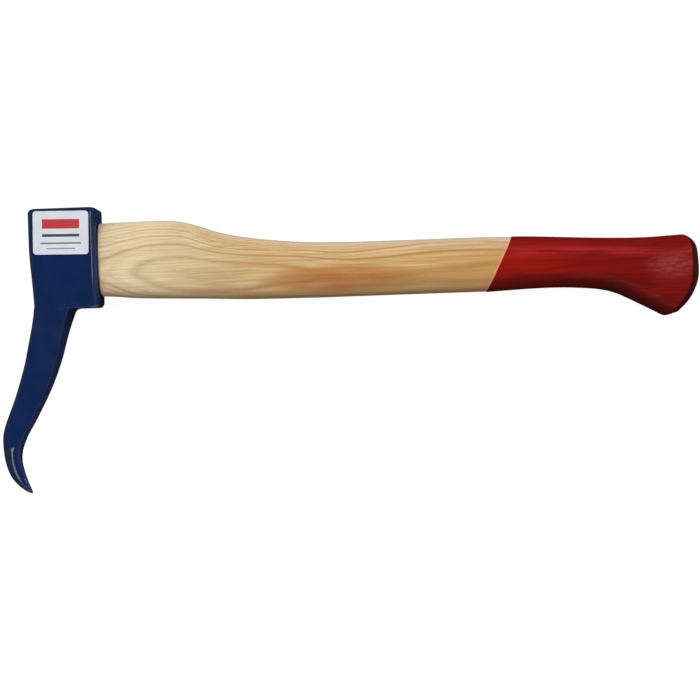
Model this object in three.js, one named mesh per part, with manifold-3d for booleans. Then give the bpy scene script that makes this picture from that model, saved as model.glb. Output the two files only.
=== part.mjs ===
// Pickaroon: a forged beak head wedged on a curved ash handle, lying on the rear cheek of the head.
// Millimetres and degrees. +X runs along the eye from the head to the grip, +Y towards the flat poll,
// +Z up. The origin is on the rear cheek, under the middle of the eye.
import * as THREE from 'three';
import { mergeVertices } from 'three/addons/utils/BufferGeometryUtils.js';
import Module from 'manifold-3d';

const wasm = await Module();
wasm.setup();

// Eye: an oval socket along X, a little wider at the outer face so that the wedges can lock the handle.
const eyeLength = 40;
const eyeHeight = 41;
const eyeWidth = 19;
const eyeHeightFlare = 2;
const eyeWidthFlare = 2;
const eyeSquareness = 2.6;
const fitGap = 0.3;

// Head block round the eye.
const cheekWall = 4.5;
const pollWall = 10.5;
const undersideWall = 8.5;
const cheekRounding = 2.8;
const pollCornerRadius = 5;
const undersideCornerRadius = 3;
const outerFaceSlopeStart = 9;

// Beak: lists hold [share of its length from the block, value].
const beakLength = 115.3;
const crotchX = 2.2;
const crotchRadius = 7;
const beakLean = [[0, 14.8], [0.15, 14.8], [0.6, 26.5], [0.79, -7.6], [1, -47]];
const beakWidth = [[0, 20.2], [0.2, 18.9], [0.4, 16.7], [0.6, 13.9], [0.7, 12.3], [0.8, 9.2], [0.88, 7.7],
  [0.94, 5.2], [1, 1.4]];
const beakThickness = [[0, 20.8], [0.06, 16.8], [0.22, 13.6], [0.6, 10], [0.75, 8.4], [0.9, 5], [1, 1.4]];
const beakRounding = [[0, 2.8], [0.2, 2], [0.7, 2], [0.9, 1.6], [1, 0.5]];
const fullestRounding = 0.9;

// Handle: how far its back and belly lie from the eye's axis at the grip, and its thickness there.
const handleLength = 399;
const gripBack = 5.5;
const gripBelly = 27.2;
const gripThickness = 24;
const gripSquareness = 2.4;
const swellRun = 40;
const frontRun = 110;
const knobRun = 75;

// Shoulder against the mouth face. Lists hold [distance from the mouth face, share of the shoulder].
const shoulderLipHeight = 1.3;
const shoulderLipWidth = 0.8;
const shoulderRounding = 0.6;
const shoulderSquareness = 3.2;
const tongueSetback = 0.6;
const backFromHead = [[0, 1], [30, 1.03], [42, 1.01], [50, 0.95], [60, 0.78], [70, 0.56], [80, 0.4],
  [100, 0.2], [125, 0.05], [150, 0]];
const bellyFromHead = [[0, 1], [10, 0.87], [20, 0.67], [40, 0.49], [60, 0.35], [90, 0.1], [130, 0]];
const thicknessFromHead = [[0, 1], [30, 0.6], [80, 0.3], [140, 0]];

// Knob. Lists hold [distance from the knob's end, share of the knob's own change of the outline].
const knobFlare = 16.3;
const knobBackDip = 4;
const domeRadius = 29.4;
const domeDrop = 5.9;
const bellyFromEnd = [[0, 1.82], [10, 1.49], [25, 1], [40, 0.52], [50, 0.23], [60, 0.06], [75, -0.05],
  [90, -0.08], [130, 0]];
const backFromEnd = [[0, 0.7], [8, 0.76], [34, 1], [60, 0.8], [100, 0.24], [130, 0]];
const thicknessFromEnd = [[0, 1], [22, 1], [40, 0.55], [70, 0.12], [110, 0]];

// Lacquered grip: a dip coat on the knob and the end of the grip, up to a slanted line.
const lacquerLength = 119;
const lacquerThickness = 0.3;
const lacquerGap = 0.1;
const dipLean = 26.7;

// Wooden wedge in a kerf across the tongue, and the round steel wedge over it.
const wedgeDepth = 28;
const wedgeThickEnd = 5;
const wedgeThinEnd = 1;
const kerfRunout = 2;
const ringDiameter = 14;
const ringDepth = 16;
const ringWall = 1.6;
const ringEdge = 0.6;

// Foil label on the front cheek.
const labelWidth = 33.6;
const labelHeight = 25.8;
const labelThickness = 0.2;
const labelRadius = 2;
const labelFromPoll = 2.3;
const labelTilt = -1.3;

// How finely curves are stepped.
const ovalPoints = 32;
const handleSteps = [4, 4, 8, 4, 14];
const cornerSteps = 4;
const blockSteps = 5;
const pathSteps = 6;
const beakSteps = 34;
const ringSegments = 40;
const domeRings = 12;
const domeSegments = 36;
const domeSweep = 85;
const overrun = 4;

// Sizes that follow from the ones above.
const mouthX = eyeLength / 2;
const outerX = -mouthX;
const headThickness = eyeWidth + 2 * cheekWall;
const pollY = eyeHeight / 2 + pollWall;
const undersideY = -eyeHeight / 2 - undersideWall;
const shoulderX = mouthX + fitGap;
const shoulderHalfHeight = eyeHeight / 2 + shoulderLipHeight;
const shoulderHalfWidth = eyeWidth / 2 + shoulderLipWidth;
const tongueEndX = outerX + tongueSetback;
const knobEndX = tongueEndX + handleLength;
const knobHalfThickness = headThickness / 2 - lacquerGap - lacquerThickness;
const gripCentreY = (gripBack - gripBelly) / 2;
const domeCentre = new THREE.Vector3(knobEndX - domeRadius, gripCentreY - domeDrop, 0);

const radians = THREE.MathUtils.degToRad;
const { lerp, smoothstep } = THREE.MathUtils;

// Smooth curve through [place, value] points, level beyond both ends and where its values turn back.
function along(points, place) {
  const last = points.length - 1;
  if (place <= points[0][0]) return points[0][1];
  if (place >= points[last][0]) return points[last][1];
  const k = points.findIndex((point) => point[0] > place) - 1;
  const slope = (i) => {
    const before = points[Math.max(i - 1, 0)];
    const after = points[Math.min(i + 1, last)];
    const turnsBack = i > 0 && i < last && (points[i][1] - before[1]) * (after[1] - points[i][1]) <= 0;
    return turnsBack ? 0 : (after[1] - before[1]) / (after[0] - before[0]);
  };
  const span = points[k + 1][0] - points[k][0];
  const t = (place - points[k][0]) / span;
  const rise = points[k + 1][1] - points[k][1];
  const bend = (1 - t) * (slope(k) * span - rise) - t * (slope(k + 1) * span - rise);
  return points[k][1] + t * rise + t * (1 - t) * bend;
}

// Closed skin over a row of rings that all have the same number of points, with a flat cap at each end.
function loft(rings) {
  const count = rings[0].length;
  const centres = [rings[0], rings.at(-1)].map((ring) => (
    ring.reduce((sum, point) => sum.add(point), new THREE.Vector3()).divideScalar(count)));
  const positions = [...rings.flat(), ...centres].flatMap((point) => point.toArray());
  const firstCentre = rings.length * count;
  const lastRing = firstCentre - count;
  const index = [];
  for (let j = 0; j < count; j += 1) {
    const next = (j + 1) % count;
    for (let start = 0; start < lastRing; start += count) {
      const [a, b, c, d] = [start + j, start + next, start + count + next, start + count + j];
      index.push(a, b, c, a, c, d);
    }
    index.push(firstCentre, next, j, firstCentre + 1, lastRing + j, lastRing + next);
  }
  const geometry = new THREE.BufferGeometry();
  geometry.setAttribute('position', new THREE.Float32BufferAttribute(positions, 3));
  geometry.setIndex(index);
  return geometry;
}

// Solid that can be cut and joined, from any closed geometry.
function solid(geometry) {
  const bare = geometry.clone();
  bare.deleteAttribute('normal');
  bare.deleteAttribute('uv');
  const merged = mergeVertices(bare, 1e-4);
  const triVerts = [];
  for (let i = 0; i < merged.index.count; i += 3) {
    const [a, b, c] = merged.index.array.slice(i, i + 3);
    if (a !== b && b !== c && c !== a) triVerts.push(a, b, c);
  }
  return new wasm.Manifold(new wasm.Mesh({
    numProp: 3,
    vertProperties: new Float32Array(merged.attributes.position.array),
    triVerts: new Uint32Array(triVerts),
  }));
}

// Named mesh made from a cut solid.
function piece(name, shape, material) {
  const { vertProperties, triVerts } = shape.getMesh();
  const geometry = new THREE.BufferGeometry();
  geometry.setAttribute('position', new THREE.BufferAttribute(vertProperties, 3));
  geometry.setIndex(new THREE.BufferAttribute(triVerts, 1));
  geometry.computeVertexNormals();
  const mesh = new THREE.Mesh(geometry, material);
  mesh.name = name;
  return mesh;
}

// Oval ring across X, between a back and a belly height. A higher squareness fills the corners out.
function ovalRing(x, back, belly, halfWidth, squareness) {
  const round = (value) => Math.sign(value) * Math.abs(value) ** (2 / squareness);
  return Array.from({ length: ovalPoints }, (_, i) => {
    const angle = (2 * Math.PI * i) / ovalPoints;
    const y = (back + belly) / 2 + round(Math.cos(angle)) * (back - belly) / 2;
    return new THREE.Vector3(x, y, round(Math.sin(angle)) * halfWidth);
  });
}

// Upright ring with rounded corners that stands on the line between two plan points.
function blockRing(outer, inner, halfThickness, rounding) {
  const halfWidth = outer.distanceTo(inner) / 2;
  const radius = Math.min(rounding, fullestRounding * halfWidth, fullestRounding * halfThickness);
  const middle = outer.clone().lerp(inner, 0.5);
  const across = inner.clone().sub(outer).normalize();
  const ring = [];
  for (let corner = 0; corner < 4; corner += 1) {
    const side = corner === 0 || corner === 3 ? 1 : -1;
    const up = corner < 2 ? 1 : -1;
    for (let step = 0; step <= cornerSteps; step += 1) {
      const angle = (corner + step / cornerSteps) * Math.PI / 2;
      const reach = side * (halfWidth - radius) + radius * Math.cos(angle);
      const rise = up * (halfThickness - radius) + radius * Math.sin(angle);
      ring.push(new THREE.Vector3(middle.x + reach * across.x, middle.y + reach * across.y, rise));
    }
  }
  return ring;
}

// How far a rounded corner draws in at a depth below its top.
function drawIn(depth, radius) {
  const left = Math.max(radius - depth, 0);
  return radius - Math.sqrt(radius ** 2 - left ** 2);
}

// Beak's sections from the crotch to the point, as plan points on its outer and inner edges.
function beakSections() {
  const lean = radians(beakLean[0][1]);
  const filletX = crotchX + crotchRadius * Math.tan(Math.PI / 4 - lean / 2);
  const root = new THREE.Vector2(-Math.cos(lean), Math.sin(lean));
  const centre = new THREE.Vector2(filletX, undersideY - crotchRadius);
  centre.addScaledVector(root, crotchRadius + beakWidth[0][1] / 2);
  const sections = [];
  for (let step = 0; step <= beakSteps; step += 1) {
    const share = step / beakSteps;
    const angle = radians(along(beakLean, share));
    const out = new THREE.Vector2(-Math.cos(angle), Math.sin(angle));
    const half = along(beakWidth, share) / 2;
    sections.push({
      share,
      outer: centre.clone().addScaledVector(out, half),
      inner: centre.clone().addScaledVector(out, -half),
    });
    const ahead = radians(along(beakLean, share + 0.5 / beakSteps));
    centre.x -= Math.sin(ahead) * beakLength / beakSteps;
    centre.y -= Math.cos(ahead) * beakLength / beakSteps;
  }
  return { filletX, lean, sections };
}

// Mouth corner, underside and crotch fillet, as one plan path down to the beak's inner edge.
function undersidePath(filletX, lean) {
  const corner = undersideCornerRadius;
  const path = new THREE.Path();
  path.moveTo(mouthX, undersideY + corner);
  path.absarc(mouthX - corner, undersideY + corner, corner, 0, -Math.PI / 2, true);
  path.lineTo(filletX, undersideY);
  path.absarc(filletX, undersideY - crotchRadius, crotchRadius, Math.PI / 2, Math.PI - lean, false);
  return path;
}

// Head: block and beak as one skin from the poll to the point, with the eye cut through.
function headSolid() {
  const { filletX, lean, sections } = beakSections();
  const root = sections[0];
  const halfThickness = headThickness / 2;
  const outerAt = (y) => {
    const slope = smoothstep(-y, -outerFaceSlopeStart, -root.outer.y);
    return new THREE.Vector2(lerp(outerX, root.outer.x, slope), y);
  };
  const rings = [];
  for (let step = 0; step <= blockSteps; step += 1) {
    const depth = pollCornerRadius * (1 - Math.cos(step / blockSteps * Math.PI / 2));
    const inset = drawIn(depth, pollCornerRadius);
    const outer = outerAt(pollY - depth);
    const inner = new THREE.Vector2(mouthX - inset, pollY - depth);
    outer.x += inset;
    rings.push(blockRing(outer, inner, halfThickness - drawIn(depth, cheekRounding), cheekRounding));
  }
  const fanTop = undersideY + undersideWall;
  for (let step = 1; step < blockSteps; step += 1) {
    const y = lerp(pollY - pollCornerRadius, fanTop, step / blockSteps);
    rings.push(blockRing(outerAt(y), new THREE.Vector2(mouthX, y), halfThickness, cheekRounding));
  }
  const turn = undersidePath(filletX, lean).getPoints(pathSteps);
  turn.forEach((inner, step) => {
    const share = step / (turn.length - 1);
    const outer = outerAt(lerp(fanTop, root.outer.y, share));
    const thickness = lerp(headThickness, beakThickness[0][1], share * share);
    rings.push(blockRing(outer, inner, thickness / 2, cheekRounding));
  });
  sections.slice(1).forEach(({ share, outer, inner }) => {
    rings.push(blockRing(outer, inner, along(beakThickness, share) / 2, along(beakRounding, share)));
  });
  return solid(loft(rings)).subtract(eyeSolid(0, outerX - overrun, mouthX + overrun));
}

// Rings of the eye's own shape, smaller by a gap all round, from one place along X to another.
function eyeRings(gap, from, to) {
  return [from, to].map((x) => {
    const flare = (mouthX - x) / eyeLength;
    const half = (eyeHeight + eyeHeightFlare * flare) / 2 - gap;
    return ovalRing(x, half, -half, (eyeWidth + eyeWidthFlare * flare) / 2 - gap, eyeSquareness);
  });
}

function eyeSolid(gap, from, to) {
  return solid(loft(eyeRings(gap, from, to)));
}

// Ring of the handle at a place along X, grown outwards all round.
function handleRing(x, grow) {
  const fromHead = x - shoulderX;
  const fromEnd = knobEndX - x;
  const edge = drawIn(fromHead, shoulderRounding);
  const thick = along(thicknessFromHead, fromHead);
  const back = gripBack + (shoulderHalfHeight - gripBack) * along(backFromHead, fromHead)
    - knobBackDip * along(backFromEnd, fromEnd);
  const belly = gripBelly + (shoulderHalfHeight - gripBelly) * along(bellyFromHead, fromHead)
    + knobFlare * along(bellyFromEnd, fromEnd);
  const half = gripThickness / 2 + (shoulderHalfWidth - gripThickness / 2) * thick
    + (knobHalfThickness - gripThickness / 2) * along(thicknessFromEnd, fromEnd);
  const squareness = lerp(gripSquareness, shoulderSquareness, thick);
  return ovalRing(x, back - edge + grow, -belly + edge - grow, half - edge + grow, squareness);
}

// Places along X for the handle's rings: close together where the outline turns.
function handlePlaces() {
  const places = [shoulderX];
  const ends = [shoulderX + shoulderRounding, shoulderX + swellRun, shoulderX + frontRun, knobEndX - knobRun,
    knobEndX + overrun];
  ends.forEach((end, run) => {
    const steps = handleSteps[run];
    const start = places.at(-1);
    for (let step = 1; step <= steps; step += 1) places.push(lerp(start, end, step / steps));
  });
  return places;
}

// Cutter that leaves a domed knob end: a block with a round hollow, turned about X.
function domeCutter(grow) {
  const radius = domeRadius + grow;
  const profile = [];
  for (let step = 0; step <= domeRings; step += 1) {
    const angle = radians(domeSweep) * step / domeRings;
    profile.push(new THREE.Vector2(radius * Math.sin(angle), radius * Math.cos(angle)));
  }
  const far = 2 * radius;
  profile.push(new THREE.Vector2(far, profile.at(-1).y));
  profile.push(new THREE.Vector2(far, far));
  profile.push(new THREE.Vector2(0, far));
  const geometry = new THREE.LatheGeometry(profile, domeSegments);
  geometry.rotateZ(-Math.PI / 2);
  geometry.translate(domeCentre.x, domeCentre.y, domeCentre.z);
  return solid(geometry);
}

// Wedge-shaped prism across the tongue: thick at the tongue's end, thin at a depth inside.
function wedgePrism(gap, depth) {
  const taper = (wedgeThickEnd - wedgeThinEnd) / wedgeDepth;
  const halfAt = (inside) => (wedgeThickEnd - taper * inside) / 2 + gap;
  const start = gap > 0 ? -overrun : 0;
  const shape = new THREE.Shape([
    new THREE.Vector2(tongueEndX + start, -halfAt(start)),
    new THREE.Vector2(tongueEndX + depth, -halfAt(depth)),
    new THREE.Vector2(tongueEndX + depth, halfAt(depth)),
    new THREE.Vector2(tongueEndX + start, halfAt(start)),
  ]);
  const length = eyeHeight + eyeHeightFlare + 2 * overrun;
  const geometry = new THREE.ExtrudeGeometry(shape, { depth: length, bevelEnabled: false });
  geometry.translate(0, 0, -length / 2);
  geometry.rotateX(Math.PI / 2);
  return solid(geometry);
}

// Round wedge about the eye's axis: a full wall at the tongue's end, a thin edge inside.
function ringSolid(gap) {
  const outer = ringDiameter / 2;
  const start = gap > 0 ? -overrun : 0;
  const profile = [
    new THREE.Vector2(outer - ringWall - gap, start),
    new THREE.Vector2(outer + gap, start),
    new THREE.Vector2(outer + gap, ringDepth + gap),
    new THREE.Vector2(outer - ringEdge - gap, ringDepth + gap),
    new THREE.Vector2(outer - ringWall - gap, start),
  ];
  const geometry = new THREE.LatheGeometry(profile, ringSegments);
  geometry.rotateZ(-Math.PI / 2);
  geometry.translate(tongueEndX, 0, 0);
  return solid(geometry);
}

// Handle: tongue, shoulder, grip and knob in one piece, split by the kerf and grooved for the ring.
function handleSolid() {
  const tongue = eyeRings(fitGap, tongueEndX, shoulderX);
  const shank = handlePlaces().map((x) => handleRing(x, 0));
  return solid(loft([...tongue, ...shank]))
    .subtract(domeCutter(0))
    .subtract(wedgePrism(fitGap, wedgeDepth + kerfRunout))
    .subtract(ringSolid(fitGap));
}

function wedgeSolid() {
  return wedgePrism(0, wedgeDepth)
    .intersect(eyeSolid(fitGap, tongueEndX, shoulderX))
    .subtract(ringSolid(fitGap));
}

// Lacquer: a thin skin between two grown copies of the handle, cut off along the dip line.
function lacquerSolid() {
  const places = handlePlaces().filter((x) => x > shoulderX + swellRun);
  const grown = (grow) => {
    const rings = places.map((x) => handleRing(x, grow));
    return solid(loft(rings)).subtract(domeCutter(grow));
  };
  const reach = 2 * lacquerLength;
  const dipped = new THREE.BoxGeometry(reach, reach, reach);
  dipped.translate(reach / 2, 0, 0);
  dipped.rotateZ(-radians(dipLean));
  dipped.translate(knobEndX - lacquerLength, gripCentreY, 0);
  return grown(lacquerGap + lacquerThickness).subtract(grown(lacquerGap)).intersect(solid(dipped));
}

// Label: a thin plate with rounded corners on the front cheek, just below the poll.
function labelSolid() {
  const [x, y, r] = [labelWidth / 2, labelHeight / 2, labelRadius];
  const shape = new THREE.Shape();
  shape.absarc(x - r, y - r, r, 0, Math.PI / 2);
  shape.absarc(r - x, y - r, r, Math.PI / 2, Math.PI);
  shape.absarc(r - x, r - y, r, Math.PI, 1.5 * Math.PI);
  shape.absarc(x - r, r - y, r, 1.5 * Math.PI, 2 * Math.PI);
  const options = { depth: labelThickness, bevelEnabled: false, curveSegments: pathSteps };
  const geometry = new THREE.ExtrudeGeometry(shape, options);
  geometry.rotateZ(radians(labelTilt));
  geometry.translate(0, pollY - labelFromPoll - y, headThickness / 2);
  return solid(geometry);
}

const bluePaint = new THREE.MeshStandardMaterial({ color: 0x142a55, roughness: 0.3, metalness: 0.1 });
const ash = new THREE.MeshStandardMaterial({ color: 0xe2c691, roughness: 0.5, metalness: 0 });
const wedgeWood = new THREE.MeshStandardMaterial({ color: 0xb98a55, roughness: 0.7, metalness: 0 });
const bareSteel = new THREE.MeshStandardMaterial({ color: 0x8d8f92, roughness: 0.4, metalness: 1 });
const labelFoil = new THREE.MeshStandardMaterial({ color: 0xf2f2f0, roughness: 0.35, metalness: 0 });
const redLacquer = new THREE.MeshStandardMaterial({ color: 0xa01c1e, roughness: 0.3, metalness: 0 });

const pickaroon = new THREE.Group();
pickaroon.position.z = headThickness / 2;
pickaroon.add(piece('head', headSolid(), bluePaint));
pickaroon.add(piece('handle', handleSolid(), ash));
pickaroon.add(piece('handle_wedge', wedgeSolid(), wedgeWood));
pickaroon.add(piece('ring_wedge', ringSolid(0), bareSteel));
pickaroon.add(piece('label', labelSolid(), labelFoil));
pickaroon.add(piece('grip_lacquer', lacquerSolid(), redLacquer));

export default pickaroon;
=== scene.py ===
# Pickaroon: a forged beak head wedged on a curved ash handle with a lacquered grip, lying on its rear cheek.
# Shapes are worked out in millimetres about the tool's middle plane. A finished piece is in metres.
import math

import bmesh
import bpy
from mathutils import Matrix, Vector


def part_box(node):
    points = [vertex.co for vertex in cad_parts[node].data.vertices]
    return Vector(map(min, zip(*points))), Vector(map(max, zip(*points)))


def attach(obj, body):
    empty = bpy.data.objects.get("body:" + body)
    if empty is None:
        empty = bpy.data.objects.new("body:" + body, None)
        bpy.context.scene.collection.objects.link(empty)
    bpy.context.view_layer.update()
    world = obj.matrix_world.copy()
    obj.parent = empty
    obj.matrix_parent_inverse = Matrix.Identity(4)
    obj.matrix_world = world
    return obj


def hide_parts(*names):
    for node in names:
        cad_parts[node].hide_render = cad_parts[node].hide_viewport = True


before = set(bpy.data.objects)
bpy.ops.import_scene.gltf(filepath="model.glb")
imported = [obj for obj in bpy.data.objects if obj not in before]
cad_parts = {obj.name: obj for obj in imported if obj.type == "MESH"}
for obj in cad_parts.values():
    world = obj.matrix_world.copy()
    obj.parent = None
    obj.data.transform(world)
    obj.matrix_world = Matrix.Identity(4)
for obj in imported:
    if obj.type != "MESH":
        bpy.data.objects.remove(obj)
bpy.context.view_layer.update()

MM = 0.001

# Camera: straight above the tool, turned a little, 0.83 m over its middle plane.
CAMERA_PLACE = (0.1682, -0.0594, 0.841)
CAMERA_TURN = math.radians(-2.06)
FIELD_OF_VIEW = math.radians(28.57)

# Sizes that the frame gives.
HEAD_LOW, HEAD_HIGH = (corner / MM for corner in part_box("head"))
GRIP_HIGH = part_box("grip_lacquer")[1] / MM
HEAD_THICKNESS = HEAD_HIGH.z - HEAD_LOW.z
MIDDLE_Z = HEAD_THICKNESS / 2
POLL_Y = HEAD_HIGH.y
MOUTH_X = HEAD_HIGH.x
OUTER_X = -MOUTH_X

# Eye: an oval socket along X, wider at the outer face. Its rim is softened where the paint rounds it.
EYE_LENGTH = MOUTH_X - OUTER_X
EYE_HEIGHT = 41
EYE_WIDTH = 19
EYE_HEIGHT_FLARE = 2
EYE_WIDTH_FLARE = 2
EYE_SQUARENESS = 2.6
EYE_RIM = 0.7
EYE_RIM_RUNOUT = 2.5
FIT_GAP = 0.3

# Head block round the eye.
UNDERSIDE_Y = -28.4
CHEEK_ROUNDING = 2.4
MOUTH_EDGE_ROUNDING = 4
POLL_CORNER = 1.9
OUTER_POLL_CORNER = 3.2
UNDERSIDE_CORNER = 3
UNDERSIDE_EDGE_ROUNDING = 2.6
OUTER_SLOPE_START = 9
CROTCH_X = 2.4
CROTCH_RADIUS = 4.2
# Where the inner edge's rounding changes, as shares of the way from the mouth corner through the crotch.
UNDERSIDE_CHANGE = (0.1, 0.42)
CROTCH_CHANGE = (0.6, 1)
# (height, thickness) of the block's lower part.
BLOCK_THICKNESS = [(-28.9, 25.6), (-25.4, 26.6), (-21.5, 27.4), (-16.5, 27.85), (-12, 28)]

# Beak: lists hold (share of its length from the block, value). From 0.7 on it is drawn out to a round point.
BEAK_LENGTH = 117.5
BEAK_LEAN = [(0, 14.9), (0.165, 14.3), (0.4, 21.8), (0.607, 26.2), (0.7, 12.2), (0.794, -4.4), (0.9, -28.3),
             (1, -45.6)]
BEAK_WIDTH = [(0, 20.5), (0.06, 19.3), (0.12, 18.7), (0.2, 18.7), (0.3, 18), (0.4, 17), (0.5, 15.6),
              (0.6, 14.4), (0.7, 12.7), (0.76, 11.3), (0.82, 9.9), (0.88, 8.8), (0.94, 5.9), (0.985, 2.7),
              (1, 0.9)]
BEAK_THICKNESS = [(0, 25.6), (0.05, 24), (0.1, 22.35), (0.15, 20.75), (0.2, 19.3), (0.3, 16.8), (0.4, 14.9),
                  (0.5, 13.4), (0.6, 12.2), (0.7, 11.4), (0.73, 11.1), (0.74, 10.85), (0.8, 8.1), (0.9, 4),
                  (0.96, 2.3), (0.985, 1.7), (1, 0.8)]
BEAK_OUTER_ROUNDING = [(0, 2.4), (0.1, 2.4), (0.6, 2.6), (0.7, 3), (0.8, 4)]
BEAK_INNER_ROUNDING = [(0, 1.2), (0.1, 1), (0.55, 1.1), (0.7, 3), (0.8, 4)]
BEAK_ROUNDNESS = [(0.69, 0), (0.77, 1), (1, 1)]
FULLEST_ROUNDING = 0.96

# Handle: how far its back and belly lie from the eye's axis at the grip, and its thickness there.
GRIP_BACK = 5.5
GRIP_BELLY = 27.2
GRIP_THICKNESS = 24
GRIP_SQUARENESS = 2.4
GRIP_CENTRE_Y = (GRIP_BACK - GRIP_BELLY) / 2

# Shoulder against the mouth face. Lists hold (distance from the mouth face, share of the shoulder).
SHOULDER_X = MOUTH_X + FIT_GAP
SHOULDER_HALF_HEIGHT = EYE_HEIGHT / 2 + 1.3
SHOULDER_HALF_WIDTH = EYE_WIDTH / 2 + 0.8
SHOULDER_ROUNDING = 1
SHOULDER_SQUARENESS = 3.2
SHANK_START_X = SHOULDER_X + 110
BACK_FROM_HEAD = [(0, 1), (30, 1.03), (42, 1.01), (50, 0.95), (60, 0.78), (70, 0.56), (80, 0.4), (100, 0.2),
                  (125, 0.05), (150, 0)]
BELLY_FROM_HEAD = [(0, 1), (10, 0.87), (20, 0.67), (40, 0.49), (60, 0.35), (90, 0.1), (130, 0)]
THICKNESS_FROM_HEAD = [(0, 1), (30, 0.6), (80, 0.3), (140, 0)]

# Knob. Lists hold (distance from the knob's end, share of the knob's own change of the outline).
LACQUER_GAP = 0.1
LACQUER_THICKNESS = 0.3
KNOB_END_X = GRIP_HIGH.x - LACQUER_GAP - LACQUER_THICKNESS
KNOB_FLARE = 16.3
KNOB_SQUARENESS = 4.2
KNOB_BACK_DIP = 4
KNOB_HALF_THICKNESS = HEAD_THICKNESS / 2 - LACQUER_GAP - LACQUER_THICKNESS
BELLY_FROM_END = [(0, 1.82), (10, 1.47), (25, 0.97), (40, 0.49), (50, 0.2), (60, 0.04), (75, -0.05),
                  (90, -0.08), (130, 0)]
BACK_FROM_END = [(0, 0.7), (8, 0.76), (34, 1), (60, 0.8), (100, 0.24), (130, 0)]
THICKNESS_FROM_END = [(0, 1), (22, 1), (40, 0.55), (70, 0.12), (110, 0)]

# Knob's domed end in the middle plane: (height, distance short of the knob's end). It crowns across.
END_PROFILE = [(-50, 42), (-47, 30), (-45.6, 22.8), (-45, 18.6), (-44.2, 15.6), (-42.5, 13.5), (-40, 10.6),
               (-37, 7.8), (-34, 5.6), (-30, 3.5), (-26, 1.9), (-22, 1.05), (-18, 0.8), (-13, 0.9),
               (-8, 1.25), (-4.2, 2), (-1.1, 3.75), (0.5, 5.6), (1.8, 7.5), (2.8, 10.1), (3.6, 14.4),
               (5, 30)]
END_CROWN_RADIUS = 18.4
END_CENTRE_Y = -18
DOME_CENTRE_SHARE = 0.04
KNOB_EDGE = 0.9
EDGE_SEARCH = (330, 390)
EDGE_HALVINGS = 30

# Lacquer: a dip coat up to a slanted line. LIP holds (distance from the line, height over the wood).
LACQUER_LENGTH = 120.2
DIP_LEAN = math.radians(26.7)
DIP_ROUNDS = 6
LIP = [(0, 0.12), (0.25, 0.28), (0.7, 0.37), (1.4, 0.4)]

# Wooden wedge in a kerf across the tongue, and the round steel wedge over it. Solids that only cut another
# one reach past its faces.
TONGUE_END_X = OUTER_X + 0.6
WEDGE_DEPTH = 28
WEDGE_THICK_END = 5
WEDGE_THIN_END = 1
KERF_RUNOUT = 2
DRIVEN_GAP = 0.06
OVERSHOOT = 3
RING_DIAMETER = 14
RING_DEPTH = 16
RING_WALL = 1.6
RING_EDGE = 0.6
RING_PROUD = 0.25

# Foil label on the front cheek. Its print holds (height, width, depth, ink) of each bar.
LABEL_WIDTH = 32.9
LABEL_HEIGHT = 25.8
LABEL_THICKNESS = 0.2
LABEL_RADIUS = 2
LABEL_EDGE = 0.12
LABEL_FROM_POLL = 2
LABEL_TILT = math.radians(-1.3)
LABEL_PRINT = [(5.2, 22, 5.6, (186, 62, 66)), (-1.6, 22, 1.6, (70, 70, 80)), (-6.2, 24, 0.8, (96, 96, 106)),
               (-9.4, 17, 0.5, (112, 112, 122))]
LABEL_CENTRE_X = -0.35
LABEL_CENTRE_Y = POLL_Y - LABEL_FROM_POLL - LABEL_HEIGHT / 2

# How finely curves are stepped.
OVAL_SIDES = 72
EYE_SIDES = 64
CORNER_STEPS = 10
BLOCK_STEPS = 12
TURN_STEPS = 9
UNDERSIDE_STEPS = 4
BEAK_STEPS = 120
EYE_RIM_STEPS = 5
TONGUE_STEPS = 3
BLANK_STEPS = 4
SHOULDER_STEPS = 5
SWELL_STEPS = 60
SHANK_STEPS = 90
DOME_STEPS = 10
EDGE_STEPS = 3
COAT_STEPS = 84
COAT_DOME_STEPS = 14
COAT_EDGE_STEPS = 4
INSIDE_STEPS = 24
INSIDE_DOME_STEPS = 6
LABEL_CORNER_STEPS = 8
LABEL_EDGE_STEPS = 2

# Edges bent more than this look sharp. Points this close are welded, after a cut and otherwise.
SHARP_ANGLE = math.radians(32)
CUT_WELD = 0.002
FINE_WELD = 0.001


# Curves and rings

def along(points, place):
    """Smooth curve through (place, value) points, level beyond both ends and where its values turn back."""
    last = len(points) - 1
    if place <= points[0][0]:
        return points[0][1]
    if place >= points[last][0]:
        return points[last][1]
    k = next(i for i, point in enumerate(points) if point[0] > place) - 1

    def slope(i):
        before, after = points[max(i - 1, 0)], points[min(i + 1, last)]
        turns_back = 0 < i < last and (points[i][1] - before[1]) * (after[1] - points[i][1]) <= 0
        return 0 if turns_back else (after[1] - before[1]) / (after[0] - before[0])

    span = points[k + 1][0] - points[k][0]
    rise = points[k + 1][1] - points[k][1]
    t = (place - points[k][0]) / span
    bend = (1 - t) * (slope(k) * span - rise) - t * (slope(k + 1) * span - rise)
    return points[k][1] + t * rise + t * (1 - t) * bend


def lerp(a, b, t):
    return a + (b - a) * t


def smoothstep(value, low, high):
    t = min(max((value - low) / (high - low), 0), 1)
    return t * t * (3 - 2 * t)


def spread(start, end, steps):
    """Even places from start to end, both included."""
    return [lerp(start, end, step / steps) for step in range(steps + 1)]


def draw_in(depth, radius):
    """How far a rounded corner draws in at a depth below its top."""
    left = max(radius - depth, 0)
    return radius - math.sqrt(radius ** 2 - left ** 2)


def circle(bm, sides):
    """Unit circle, as its vertices and their angles."""
    verts = bmesh.ops.create_circle(bm, segments=sides, radius=1)["verts"]
    return [(v, math.atan2(v.co.y, v.co.x)) for v in verts]


def filled_out(value, squareness):
    return math.copysign(abs(value) ** (2 / squareness), value)


def oval_ring(bm, sides, place):
    """Ring whose vertices go where place(angle) says."""
    ring = circle(bm, sides)
    for v, angle in ring:
        v.co = place(angle)
    return [v for v, _ in ring]


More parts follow.
